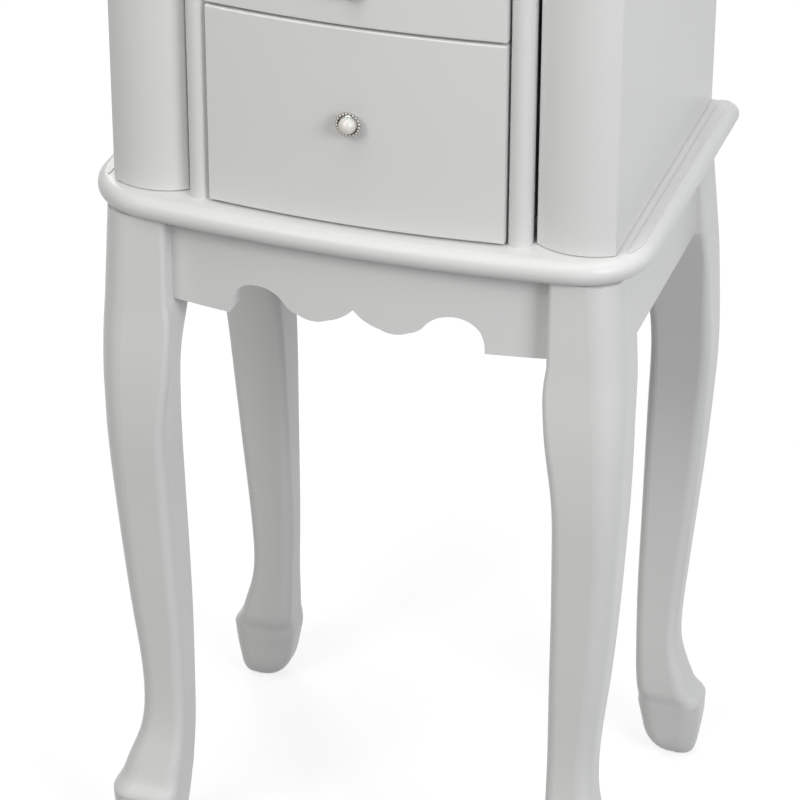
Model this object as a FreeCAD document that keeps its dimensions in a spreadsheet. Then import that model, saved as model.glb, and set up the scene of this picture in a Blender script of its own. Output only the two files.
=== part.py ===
"""Jewellery cabinet on cabriole legs, with a flip-top mirror lid, four drawers and two side doors.

Millimetres, +Z up, front towards -Y. The origin lies on the floor at the middle of the footprint.
The right-hand pieces are modelled; their left-hand partners are mirror images in the plane X = 0.
"""
import FreeCAD, Part
import math
import os
import Sketcher
from FreeCAD import Placement, Rotation, Vector

os.makedirs("parts", exist_ok=True)
DOCUMENT = FreeCAD.newDocument("jewellery_cabinet")

# ---------------------------------------------------------------- driving sizes
SIZES = [
    # heights
    ("glide_thick", 2.0, "felt glide under each foot"),
    ("apron_low", 512.5, "lower edge of the apron and rails"),
    ("base_low", 582.0, "underside of the base board"),
    ("board_thick", 18.6, "base board and lid board"),
    ("ledge_thick", 0.8, "raised band on the base board beside each door"),
    ("ledge_set", 6.8, "from the side door to that band"),
    ("ledge_wide", 7.4, "width of the band"),
    ("front_gap", 2.0, "gap between the fronts, and over the base board"),
    ("deep_front_high", 151.5, "height of the bottom drawer front"),
    ("slim_front_high", 64.0, "height of each of the other drawer fronts"),
    ("frieze_high", 48.5, "height of the top tray's walls"),
    ("lid_gap", 0.6, "felt gap between tray and lid"),
    ("crown_thick", 5.0, "raised panel on the lid"),
    # carcass
    ("wall_in", 111.0, "inner face of each inner wall"),
    ("wall_thick", 12.0, "inner wall"),
    ("wall_front", -127.1, "front edge of the inner walls"),
    ("body_back", 138.2, "rear face of the back panel and of the back posts"),
    ("back_thick", 8.0, "back panel"),
    ("stile_wide", 16.5, "half-round stile"),
    ("stile_round", 8.4, "radius of its front"),
    ("stile_proud", 14.6, "stile in front of the inner walls"),
    # plan of the base board and the lid
    ("base_over_side", 21.5, "base board beyond the side doors"),
    ("base_over_front", 38.5, "base board in front of the inner walls"),
    ("base_over_back", 1.0, "base board behind the back panel"),
    ("base_bow", 1300.0, "radius of the bowed front"),
    ("base_corner", 55.0, "front corner radius"),
    ("nosing", 9.2, "radius of the round moulded edge"),
    ("frieze_over_side", 2.0, "frieze beyond the side doors"),
    ("frieze_over_front", 23.0, "frieze in front of the inner walls"),
    ("frieze_corner", 35.5, "front corner radius of the frieze"),
    ("frieze_thick", 11.0, "frieze wall"),
    ("crown_inset", 30.0, "raised panel behind the moulded edge"),
    ("crown_corner", 33.0, "front corner radius of the raised panel"),
    # necklace doors
    ("body_half", 188.0, "outer face of the side doors"),
    ("panel_thick", 9.0, "side panel"),
    ("door_gap", 0.8, "gap over and under the doors"),
    ("panel_set", 3.0, "side panel behind the front of the inner walls"),
    ("stile_gap", 1.7, "between stile and column"),
    ("column_edge_proud", 2.0, "inner edge of the column in front of the inner walls"),
    ("column_side_proud", 3.8, "outer edge of the column in front of the inner walls"),
    ("column_crown", 9.8, "how far the column bulges"),
    ("column_thick", 9.0, "thickness of the column"),
    ("column_lip_x", 6.0, "width of the column's inner edge"),
    ("column_lip_y", 6.8, "depth of the column's inner edge"),
    ("edge_round", 2.5, "softened edge of the column"),
    ("block_thick", 12.0, "door corner block"),
    ("block_deep", 46.0, "door corner block, front to back"),
    ("rack_thick", 3.0, "hook rack"),
    ("rack_high", 22.0, "hook rack"),
    ("rack_drop", 60.0, "from the door's top to the rack"),
    ("rack_front", 14.0, "rack behind the corner blocks"),
    ("rack_back", 24.0, "rack in front of the back panel"),
    ("hook_reach", 20.0, "how far the hooks stand out"),
    ("hook_thick", 1.6, "hook wire radius"),
    ("door_knob_drop", 110.0, "from the door's top to its knob"),
    # drawers
    ("front_slack", 1.1, "drawer front beside the inner wall"),
    ("front_proud", 22.6, "middle of the bowed drawer fronts, before the inner walls"),
    ("front_thin", 18.6, "drawer front at its middle"),
    ("front_bow", 864.0, "radius of the bowed drawer fronts"),
    ("front_soft", 1.4, "softened edge of the drawer fronts"),
    ("box_slack", 1.7, "drawer box beside the inner wall"),
    ("box_room", 15.2, "room behind the drawer boxes"),
    ("box_side", 8.0, "drawer box side"),
    ("box_floor", 5.0, "drawer box bottom"),
    ("box_margin", 9.0, "drawer box above and below the front's edges"),
    ("runner_thick", 6.5, "drawer runner"),
    ("runner_wide", 12.0, "drawer runner"),
    ("runner_slack", 0.3, "drawer box over its runner"),
    # knobs
    ("knob_rise", 6.5, "knob of the tall bottom drawer above its middle"),
    ("pearl_round", 6.3, "pearl"),
    ("bead_ring", 8.2, "radius of the beaded ring"),
    ("bead_round", 1.35, "bead"),
    ("cup_thick", 2.4, "cup under the pearl"),
    ("pearl_sunk", 0.8, "how far the pearl sinks into its cup"),
    ("peg_round", 2.0, "peg and screw of the knob"),
    ("peg_slack", 0.05, "pearl and drawer front over the peg"),
    ("screw_head", 4.2, "screw head inside the drawer"),
    ("screw_head_thick", 2.2, "screw head inside the drawer"),
    # stand
    ("post_over", 6.5, "leg posts beyond the side doors"),
    ("post_wide", 50.5, "leg post"),
    ("back_rake", 15.3, "how far the back feet stand out behind"),
    ("rail_set", 2.8, "side rails behind the posts' faces"),
    ("back_rail_set", 2.2, "back rail behind the posts' faces"),
    ("rail_thick", 15.0, "side and back rails"),
    ("apron_proud", 21.1, "middle of the bowed apron, and the front posts, before the inner walls"),
    ("apron_thick", 28.0, "apron at its middle"),
    ("apron_bow", 740.0, "radius of the bowed apron"),
    ("block_drop", 7.0, "corner blocks below the base board"),
    ("block_high", 30.0, "corner blocks"),
    ("brace_wide", 28.0, "corner block, along the apron"),
    ("bolt_start", 19.0, "start of the leg bolt from the post's inner corner"),
    ("bolt_round", 3.0, "leg bolt"),
    ("bolt_slack", 0.06, "leg bolt in its hole"),
    ("bolt_long", 46.0, "leg bolt"),
    ("glide_round", 8.0, "felt glide"),
    # lid
    ("mirror_side", 31.0, "mirror from the inside of the frieze, at the sides"),
    ("mirror_front", 27.1, "mirror from the inside of the frieze, in front"),
    ("mirror_back", 22.2, "mirror from the inside of the frieze, behind"),
    ("mirror_thick", 3.0, "mirror"),
    ("mirror_slack", 0.4, "mirror in its recess"),
    ("frame_wide", 12.0, "mirror frame strip"),
    ("frame_thick", 3.0, "mirror frame strip"),
    ("frame_lap", 3.0, "how far the frame holds the mirror's edge"),
    # tray
    ("tray_floor_thick", 6.5, "tray floor"),
    ("divider_thick", 4.0, "tray dividers"),
    ("divider_high", 26.0, "tray dividers"),
    ("divider_x", 72.0, "long dividers from the middle"),
    ("divider_y", 10.0, "cross divider behind the ring rolls"),
    ("roll_round", 8.0, "ring roll"),
    ("roll_gap", 0.6, "between ring rolls"),
    # hinges and catches
    ("pin_round", 1.3, "hinge pin"),
    ("pin_slack", 0.05, "hinge pin in its knuckle"),
    ("knuckle_round", 2.6, "hinge knuckle"),
    ("knuckle_long", 13.0, "hinge knuckle"),
    ("knuckle_slack", 0.2, "between knuckles"),
    ("leaf_thick", 1.2, "hinge leaf"),
    ("fixed_leaf", 18.0, "hinge leaf on the cabinet"),
    ("moving_leaf", 8.6, "hinge leaf on the door edge or lid edge"),
    ("hinge_half_gap", 0.9, "hinge axis from each leaf's board"),
    ("hinge_inset", 60.0, "door hinge from the door's end"),
    ("lid_hinge_x", 110.0, "lid hinges from the middle"),
    ("catch_wide", 14.0, "magnet housing"),
    ("catch_set", 12.0, "magnet housing behind the panel's front edge"),
    ("strike_thick", 1.0, "strike plate"),
    ("catch_slack", 0.3, "magnet to strike plate"),
]

SHEET = DOCUMENT.addObject("Spreadsheet::Sheet", "Sizes")
for row, (alias, value, note) in enumerate(SIZES, start=1):
    SHEET.set(f"A{row}", alias)
    SHEET.set(f"B{row}", str(value))
    SHEET.set(f"C{row}", note)
    SHEET.setAlias(f"B{row}", alias)
DOCUMENT.recompute()


class Term:
    """A number together with the sheet expression that gives it."""

    def __init__(self, value, words):
        self.value = float(value)
        self.words = words

    @staticmethod
    def of(other):
        return other if isinstance(other, Term) else Term(other, f"({float(other)})")

    def joined(self, other, sign, value):
        return Term(value, f"({self.words} {sign} {other.words})")

    def __add__(self, other):
        other = Term.of(other)
        return self.joined(other, "+", self.value + other.value)

    def __sub__(self, other):
        other = Term.of(other)
        return self.joined(other, "-", self.value - other.value)

    def __mul__(self, other):
        other = Term.of(other)
        return self.joined(other, "*", self.value * other.value)

    def __truediv__(self, other):
        other = Term.of(other)
        return self.joined(other, "/", self.value / other.value)

    def __radd__(self, other):
        return Term.of(other) + self

    def __rsub__(self, other):
        return Term.of(other) - self

    def __rmul__(self, other):
        return Term.of(other) * self

    def __neg__(self):
        return Term.of(0.0) - self


def root(term):
    """Square root of a size."""
    return Term(math.sqrt(term.value), f"sqrt({term.words})")


class Book:
    """Every size of the sheet, by its alias."""


size = Book()
for alias, _, _ in SIZES:
    setattr(size, alias, Term(SHEET.get(alias), f"Sizes.{alias}"))

KEPT = []


def keep(piece):
    """Marks an object as one of the cabinet's own pieces; its Label is the name of its file."""
    KEPT.append(piece)
    return piece


# ---------------------------------------------------------------- primitives and booleans
def place(piece, x, y, z):
    """Binds the base of a piece's placement to the sheet."""
    for axis, term in zip("xyz", (x, y, z)):
        piece.setExpression(f"Placement.Base.{axis}", Term.of(term).words)


def block(label, x, y, z):
    """Box from (low, high) pairs of sizes."""
    piece = DOCUMENT.addObject("Part::Box", label)
    for (low, high), side in zip((x, y, z), ("Length", "Width", "Height")):
        piece.setExpression(side, (Term.of(high) - low).words)
    place(piece, x[0], y[0], z[0])
    return piece


UP = Vector(0, 0, 1)
ALONG_X = Rotation(UP, Vector(1, 0, 0))
ALONG_Y = Rotation(UP, Vector(0, 1, 0))
OUT_FRONT = Rotation(UP, Vector(1, -1, 0))
OUT_BACK = Rotation(UP, Vector(1, 1, 0))


def rod(label, start, radius, length, turn=Rotation()):
    """Cylinder from a start point, along Z turned by the given rotation."""
    piece = DOCUMENT.addObject("Part::Cylinder", label)
    piece.Placement = Placement(Vector(), turn)
    piece.setExpression("Radius", Term.of(radius).words)
    piece.setExpression("Height", Term.of(length).words)
    place(piece, *start)
    return piece


def cut(label, base, *tools):
    """Base less the tools."""
    piece = DOCUMENT.addObject("Part::Cut", label)
    piece.Base = base
    piece.Tool = tools[0] if len(tools) == 1 else fuse(label + "_tools", *tools)
    return piece


def fuse(label, *pieces):
    """Pieces joined to one solid."""
    piece = DOCUMENT.addObject("Part::MultiFuse", label)
    piece.Shapes = list(pieces)
    return piece


def common(label, *pieces):
    """What the pieces share."""
    piece = DOCUMENT.addObject("Part::MultiCommon", label)
    piece.Shapes = list(pieces)
    return piece


def group(label, *pieces):
    """Separate solids under one name."""
    piece = DOCUMENT.addObject("Part::Compound", label)
    piece.Links = list(pieces)
    return piece


def mirrored(label, source):
    """The left-hand partner of a right-hand piece."""
    piece = DOCUMENT.addObject("Part::Mirroring", label)
    piece.Source = source
    piece.Base = Vector()
    piece.Normal = Vector(1, 0, 0)
    return piece


# ---------------------------------------------------------------- sketched pieces
def arc_centre(first, last, radius, side):
    """Centre of the arc between two points; side is +1 when it lies to the left of the way along."""
    chord = last - first
    rise = math.sqrt(radius * radius - chord.Length * chord.Length / 4)
    normal = Vector(-chord.y, chord.x, 0).normalize()
    return (first + last) * 0.5 + normal * rise * side


def sketch_on(body, plane, level):
    """New sketch on one of the body's own origin planes, lifted by a size."""
    sketch = body.newObject("Sketcher::SketchObject", body.Label + "_outline")
    origin = next(item for item in body.Origin.OriginFeatures if item.Role == plane)
    sketch.AttachmentSupport = [(origin, "")]
    sketch.MapMode = "FlatFace"
    sketch.setExpression("AttachmentOffset.Base.z", Term.of(level).words)
    return sketch


def draw(sketch, corners):
    """Closed outline through (x, y) or (x, y, radius, side) corners.

    The radius and side describe the arc that leaves the corner; without them the edge is straight.
    """
    points = [Vector(Term.of(c[0]).value, Term.of(c[1]).value, 0) for c in corners]
    starts = []
    for index, corner in enumerate(corners):
        first, last = points[index], points[(index + 1) % len(points)]
        if len(corner) == 2:
            sketch.addGeometry(Part.LineSegment(first, last))
            starts.append(1)
            continue
        radius, side = corner[2], corner[3]
        centre = arc_centre(first, last, radius.value, side)
        begin, end = (first, last) if side > 0 else (last, first)
        angles = [math.atan2(p.y - centre.y, p.x - centre.x) for p in (begin, end)]
        circle = Part.Circle(centre, UP, radius.value)
        sketch.addGeometry(Part.ArcOfCircle(circle, angles[0], angles[1]))
        starts.append(1 if side > 0 else 2)
    for index, corner in enumerate(corners):
        after = (index + 1) % len(corners)
        sketch.addConstraint(
            Sketcher.Constraint("Coincident", index, 3 - starts[index], after, starts[after])
        )
        if len(corner) > 2:
            number = sketch.addConstraint(Sketcher.Constraint("Radius", index, corner[2].value))
            sketch.setExpression(f"Constraints[{number}]", corner[2].words)
    for index, corner in enumerate(corners):
        for kind, term in (("DistanceX", corner[0]), ("DistanceY", corner[1])):
            term = Term.of(term)
            number = sketch.addConstraint(
                Sketcher.Constraint(kind, -1, 1, index, starts[index], term.value)
            )
            sketch.setExpression(f"Constraints[{number}]", term.words)


def plate(label, corners, low, high, plane="XY_Plane"):
    """Outline padded from one level to another."""
    body = DOCUMENT.addObject("PartDesign::Body", label)
    sketch = sketch_on(body, plane, low)
    draw(sketch, corners)
    pad = body.newObject("PartDesign::Pad", label + "_pad")
    pad.Profile = sketch
    pad.setExpression("Length", (Term.of(high) - low).words)
    DOCUMENT.recompute()
    return body


def softened(body, radius, wanted):
    """Rounds the edges of a body that a test picks out."""
    edges = [f"Edge{i}" for i, edge in enumerate(body.Tip.Shape.Edges, start=1) if wanted(edge)]
    fillet = body.newObject("PartDesign::Fillet", f"{body.Label}_round{len(body.Group)}")
    fillet.Base = (body.Group[-2], edges)
    fillet.setExpression("Radius", radius.words)
    body.Tip = fillet
    DOCUMENT.recompute()
    return body


def upright(edge):
    """True for an edge along Z."""
    box = edge.BoundBox
    return box.ZLength > 1e-3 and box.XLength < 1e-3 and box.YLength < 1e-3


def level(edge):
    """True for an edge in a level plane."""
    return edge.BoundBox.ZLength < 1e-3


def bowed(label, half, front, back, bow, low, high):
    """Board with straight sides and a bowed front."""
    shoulder = front + bow - root(bow * bow - half * half)
    corners = [(-half, shoulder, bow, 1), (half, shoulder), (half, back), (-half, back)]
    return plate(label, corners, low, high)


def rounded_front(body, radius):
    """Rounds the two front corners of a board."""
    return softened(body, radius, lambda edge: upright(edge) and edge.BoundBox.YMax < 0)


def nosed(body, radius, back):
    """Rounds the upper and lower edges of a board, except along its back."""
    limit = back.value - 1e-3
    return softened(body, radius, lambda edge: level(edge) and edge.CenterOfMass.y < limit)


# ---------------------------------------------------------------- levels
base_half = size.body_half + size.base_over_side
base_front = size.wall_front - size.base_over_front
base_back = size.body_back + size.base_over_back
base_top = size.base_low + size.board_thick
door_low = base_top + size.door_gap
deep_low = base_top + size.front_gap
frieze_low = deep_low + size.deep_front_high + 3 * size.slim_front_high + 4 * size.front_gap
frieze_top = frieze_low + size.frieze_high
door_high = frieze_low - size.door_gap
lid_low = frieze_top + size.lid_gap
lid_top = lid_low + size.board_thick
wall_out = size.wall_in + size.wall_thick
panel_in = size.body_half - size.panel_thick
back_in = size.body_back - size.back_thick
back_half = panel_in - 2 * size.hinge_half_gap
frieze_half = size.body_half + size.frieze_over_side
frieze_front = size.wall_front - size.frieze_over_front
post_out = size.body_half + size.post_over
post_in = post_out - size.post_wide
apron_face = size.wall_front - size.apron_proud
apron_back = apron_face + size.apron_thick
rail_out = post_out - size.rail_set
rail_in = rail_out - size.rail_thick
back_rail_face = size.body_back - size.back_rail_set
block_top = size.base_low - size.block_drop
block_low = block_top - size.block_high
panel_front = size.wall_front + size.panel_set

# ---------------------------------------------------------------- stand
# Leg sections from the floor up to the crisp toe line, from there to the apron, and through the post.
# Each row: height; how far the outer and inner sides stand from the post's faces (outwards positive),
# first from side to side, then from front to back; radius of the outer corner, of the side corners,
# and of the corner under the cabinet. All but the heights are for a post of TABLE_POST and grow with it.
FOOT = {
    "front": [
        (2, -2.8, -26.8, -2.7, -26.9, 9, 8, 8),
        (6, 2.2, -20.1, 2.3, -20.2, 14, 12, 12),
        (16, 4.2, -14.3, 3.9, -14.5, 17, 14, 14),
        (29, 6.3, -10.4, 6.0, -10.8, 18, 14, 14),
        (42, 7.8, -7.9, 7.7, -8.5, 18, 14, 14),
        (56, 8.9, -6.1, 9.1, -6.8, 18, 14, 14),
        (70, 9.5, -4.7, 10.0, -5.4, 18, 14, 14),
    ],
    "back": [
        (2, 0.4, -30.8, -0.4, -32.2, 9, 8, 8),
        (6, 4.0, -23.3, 3.2, -26.8, 13, 10, 10),
        (16, 6.4, -14.9, 7.2, -22.4, 17, 13, 13),
        (29, 8.2, -11.0, 10.4, -20.6, 18, 14, 14),
        (42, 9.4, -8.9, 12.3, -19.2, 18, 14, 14),
        (56, 10.0, -7.7, 13.0, -17.4, 18, 14, 14),
    ],
}
SHANK = {
    "front": [
        (72, 9.0, -4.6, 9.2, -5.3, 18, 14, 14),
        (79, 5.2, -4.3, 3.6, -4.9, 16, 12, 12),
        (92, 0.5, -3.9, -2.0, -4.3, 14, 10, 10),
        (116, -8.0, -3.2, -9.8, -3.2, 12, 8, 8),
        (150, -11.9, -3.0, -13.8, -1.9, 12, 8, 8),
        (220, -6.6, -3.6, -11.5, -0.4, 13, 8, 8),
        (310, 0.9, -5.3, -5.4, -1.9, 15, 8, 8),
        (355, 3.6, -5.8, -1.7, -3.4, 16, 8, 9),
        (400, 5.5, -5.6, 2.1, -4.0, 18, 7, 12),
        (425, 6.1, -2.9, 3.0, -4.1, 19, 7, 20),
        (450, 6.5, 0.0, 3.3, -5.7, 20, 6, 25),
        (470, 6.3, 1.4, 2.8, -4.8, 21, 5, 25),
        (487, 5.8, 2.1, 1.9, -2.2, 21.5, 4.3, 20),
        (500, 5.1, 1.5, 1.25, -0.5, 22, 4, 12),
        (512.5, 4.3, 0.0, 0.9, 0.0, 22, 4, 4),
    ],
    "back": [
        (58, 9.5, -7.6, 12.6, -17.2, 18, 14, 14),
        (66, 4.1, -7.6, 8.6, -15.1, 16, 12, 12),
        (80, -1.4, -6.7, 3.8, -15.0, 14, 10, 10),
        (108, -9.2, -5.9, -0.5, -16.7, 12, 8, 8),
        (150, -9.7, -4.8, -0.5, -19.5, 12, 8, 8),
        (220, -4.1, -5.7, 4.7, -20.7, 13, 8, 8),
        (310, 3.0, -7.6, 12.0, -20.6, 15, 8, 8),
        (355, 5.8, -8.9, 14.6, -18.6, 16, 8, 9),
        (400, 8.4, -10.6, 13.0, -15.5, 18, 7, 8),
        (425, 8.6, -10.0, 11.3, -12.3, 19, 7, 8),
        (450, 8.4, -8.0, 9.3, -8.7, 20, 6, 7),
        (470, 8.1, -5.6, 7.8, -5.8, 21, 5, 6),
        (487, 7.5, -3.1, 6.5, -3.2, 21, 4, 5),
        (500, 6.9, -1.2, 5.6, -1.3, 22, 4, 4),
        (512.5, 5.9, 0.0, 4.8, 0.0, 22, 4, 4),
    ],
}
POST = (582, 0.0, 0.0, 0.0, 0.0, 22, 4, 4)
TABLE_POST = 50.5


def leg_height(height):
    """Follows the table's heights when the glide, the apron or the base board move."""
    sole, apron, top = FOOT["front"][0][0], SHANK["front"][-1][0], POST[0]
    low, middle, high = size.glide_thick, size.apron_low, size.base_low
    if height <= apron:
        return low + (middle - low) * ((height - sole) / (apron - sole))
    return middle + (high - middle) * ((height - apron) / (top - apron))


def leg_lean(height):
    """Share of the rake at a height: all of it at the floor, none from the apron up."""
    return max(0.0, 1 - height / SHANK["front"][-1][0])


def leg_section(row, shift, rake):
    """Rounded square of a front-right or back-right leg, as a wire at its height."""
    height = row[0]
    outer_x, inner_x, outer_y, inner_y, big, small, under = [
        n * size.post_wide.value / TABLE_POST for n in row[1:]
    ]
    z = leg_height(height).value
    x_out, x_in = post_out.value + outer_x, post_in.value - inner_x
    back = rake * leg_lean(height) - shift
    y_out, y_in = post_out.value + outer_y + back, post_in.value - inner_y + back
    corners = [
        (x_out, y_out, big, 1, 1), (x_in, y_out, small, -1, 1),
        (x_in, y_in, under, -1, -1), (x_out, y_in, small, 1, -1),
    ]
    arcs = []
    for index, (x, y, radius, side, depth) in enumerate(corners):
        circle = Part.Circle(Vector(x - side * radius, y - depth * radius, z), UP, radius)
        arcs.append(Part.Arc(circle, index * math.pi / 2, (index + 1) * math.pi / 2).toShape())
    edges = []
    for arc, following in zip(arcs, arcs[1:] + arcs[:1]):
        edges.append(arc)
        edges.append(Part.LineSegment(arc.Vertexes[-1].Point, following.Vertexes[0].Point).toShape())
    return Part.Wire(edges)


def leg(label, place_of, shift, rake):
    """Cabriole leg: turned-out foot with a crisp toe line, slim ankle, full knee and square post."""
    foot, shank = FOOT[place_of], SHANK[place_of]
    shape = None
    for rows in (foot, foot[-1:] + shank, shank[-1:] + [POST]):
        length = Part.makeLoft([leg_section(row, shift, rake) for row in rows], True)
        shape = shape.fuse(length) if shape else length
    if place_of == "front":
        shape = shape.mirror(Vector(), Vector(0, 1, 0))
    piece = DOCUMENT.addObject("Part::Feature", label)
    piece.Shape = shape
    piece.Placement = Placement()
    return piece


def bolt_line(corner, front):
    """Start point and direction of a leg bolt, from inside the corner block to the post."""
    y = corner - size.bolt_start
    z = (block_low + block_top) / 2
    return (post_in - size.bolt_start, -y if front else y, z), (OUT_FRONT if front else OUT_BACK)


def stand():
    """Legs, apron, rails, corner blocks, bolts, glides and base board."""
    bolts, blocks, glides, corner_ys = [], [], [], []
    for name, front in (("front", True), ("back", False)):
        shift = post_out + apron_face if front else post_out - size.body_back
        rake = Term.of(0.0) if front else size.back_rake
        corner = post_in - shift
        corner_ys.append(corner)
        start, turn = bolt_line(corner, front)
        raw = leg(f"leg_{name}_shape", name, shift.value, rake.value)
        bore = size.bolt_round + size.bolt_slack
        hole = rod(f"leg_{name}_hole", start, bore, size.bolt_long + 1.0, turn)
        right = keep(cut(f"leg_{name}_right", raw, hole))
        keep(mirrored(f"leg_{name}_left", right))

        inner = -apron_back if front else back_rail_face - size.rail_thick
        sign = -1 if front else 1
        corners = [
            (post_in + corner - inner, sign * inner),
            (rail_in, sign * (corner + post_in - rail_in)),
            (rail_in, sign * (corner + post_in - rail_in - size.brace_wide)),
            (post_in + corner - inner - size.brace_wide, sign * inner),
        ]
        brace = plate(f"brace_{name}", corners, block_low, block_top)
        drilled = cut(
            f"brace_{name}_drilled", brace, rod(f"brace_{name}_hole", start, bore, size.bolt_long, turn)
        )
        blocks += [drilled, mirrored(f"brace_{name}_left", drilled)]

        shank = rod(f"bolt_{name}_shank", start, size.bolt_round, size.bolt_long, turn)
        inset = size.bolt_start - size.brace_wide / 2 - size.bolt_round
        nut_at = (start[0] + inset, start[1] - inset if front else start[1] + inset, start[2])
        nut = rod(f"bolt_{name}_nut", nut_at, 2 * size.bolt_round, size.bolt_round * math.sqrt(2), turn)
        bolt = fuse(f"bolt_{name}", shank, nut)
        bolts += [bolt, mirrored(f"bolt_{name}_left", bolt)]

        height = FOOT[name][0][0]
        outer_x, inner_x, outer_y, inner_y = [size.post_wide / TABLE_POST * n for n in FOOT[name][0][1:5]]
        sole_x = (post_out + outer_x + post_in - inner_x) / 2
        sole_y = (post_out + outer_y + post_in - inner_y) / 2 - shift + rake * leg_lean(height)
        glide = rod(f"glide_{name}", (sole_x, sign * sole_y, 0), size.glide_round, size.glide_thick)
        glides += [glide, mirrored(f"glide_{name}_left", glide)]
    keep(group("corner_blocks", *blocks))
    keep(group("leg_bolts", *bolts))
    keep(group("foot_glides", *glides))

    rise = (size.apron_low, size.base_low)
    rail = block("side_rail_right", (rail_in, rail_out), (-corner_ys[0], corner_ys[1]), rise)
    keep(group("side_rails", rail, mirrored("side_rail_left", rail)))
    keep(block("back_rail", (-post_in, post_in), (back_rail_face - size.rail_thick, back_rail_face), rise))
    keep(front_apron())
    keep(base_board())


# Scallops of the right half of the apron: distance from the middle, height over its lower edge,
# then the radius and side of the arc that leads on.
SCALLOP_HALF = 144.0
SCALLOPS = [
    (0.0, 21.8, 38.0, 1), (20.0, 9.6, 24.0, 1), (42.0, 9.9, 18.0, 1), (54.0, 18.2, 26.0, -1),
    (74.0, 27.0, 24.0, -1), (94.0, 16.5, 30.0, -1), (97.0, 4.0), (97.0, 0.0),
]


def front_apron():
    """Bowed apron between the front legs, with a scalloped lower edge."""
    low, high = size.apron_low, size.base_low
    stretch = post_in / SCALLOP_HALF
    right = []
    for x, rise, *arc in SCALLOPS:
        bend = (arc[0] * stretch, arc[1]) if arc else ()
        right.append((x * stretch, low + rise, *bend))
    left = []
    for index in range(len(right) - 1, 0, -1):
        leading = right[index - 1]
        left.append((-right[index][0], right[index][1], *leading[2:]))
    corners = [(-post_in, low)] + left + right
    corners += [(post_in, low), (post_in, high), (-post_in, high)]
    profile = plate("apron_profile", corners, 0.0, -apron_face + 5.0, "XZ_Plane")
    strip = bowed("apron_strip", post_in, apron_face, apron_back, size.apron_bow, low - 1.0, high)
    return common("apron_front", profile, strip)


def base_board():
    """Base board with rounded front corners and a moulded edge, stepped beside the doors."""
    board = bowed(
        "base_board_blank", base_half, base_front, base_back, size.base_bow, size.base_low, base_top
    )
    rounded_front(board, size.base_corner)
    nosed(board, size.nosing, base_back)
    inset = size.base_over_side - size.ledge_set - size.ledge_wide
    rise = (base_top - 1.0, base_top + size.ledge_thick)
    step = bowed("ledge_blank", base_half - inset, base_front + inset, base_back, size.base_bow, *rise)
    rounded_front(step, size.base_corner - inset)
    zone = block("ledge_zone", (size.body_half + size.ledge_set, base_half), (panel_front, base_back), rise)
    ledge = common("ledge_right", step, zone)
    return fuse("base_board", board, ledge, mirrored("ledge_left", ledge))


# ---------------------------------------------------------------- carcass
def carcass():
    """Inner walls, stiles, back panel, runners and the top tray."""
    rise = (base_top, frieze_low)
    wall = block("wall_right", (size.wall_in, wall_out), (size.wall_front, back_in), rise)
    keep(group("carcass_walls", wall, mirrored("wall_left", wall)))
    keep(block("back_panel", (-back_half, back_half), (back_in, size.body_back), rise))

    half = size.stile_wide / 2
    crest = size.wall_front - size.stile_proud + size.stile_round
    shoulder = crest - root(size.stile_round * size.stile_round - half * half)
    stile_out = size.wall_in + size.stile_wide
    stile = plate(
        "stile_right",
        [(size.wall_in, shoulder, size.stile_round, 1), (stile_out, shoulder),
         (stile_out, size.wall_front), (size.wall_in, size.wall_front)],
        *rise,
    )
    keep(group("stiles", stile, mirrored("stile_left", stile)))

    runners = []
    for number, low, _ in drawer_levels():
        top = low + size.box_margin - size.runner_slack
        runner = block(
            f"runner_{number}", (size.wall_in - size.runner_wide, size.wall_in),
            (size.wall_front, back_in), (top - size.runner_thick, top),
        )
        runners += [runner, mirrored(f"runner_{number}_left", runner)]
    keep(group("drawer_runners", *runners))
    tray()


def frieze_ring():
    """The four walls of the top tray in one ring, before they are parted."""
    outer = bowed(
        "frieze_outer", frieze_half, frieze_front, size.body_back, size.base_bow, frieze_low, frieze_top
    )
    rounded_front(outer, size.frieze_corner)
    inner = frieze_inside("frieze_inner", frieze_low - 1.0, frieze_top + 1.0)
    return cut("frieze_walls", outer, inner)


def frieze_inside(label, low, high):
    """Room inside the frieze, from one level to another."""
    thick = size.frieze_thick
    room = bowed(label, frieze_half - thick, frieze_front + thick, back_in, size.base_bow, low, high)
    return rounded_front(room, size.frieze_corner - thick)


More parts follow.
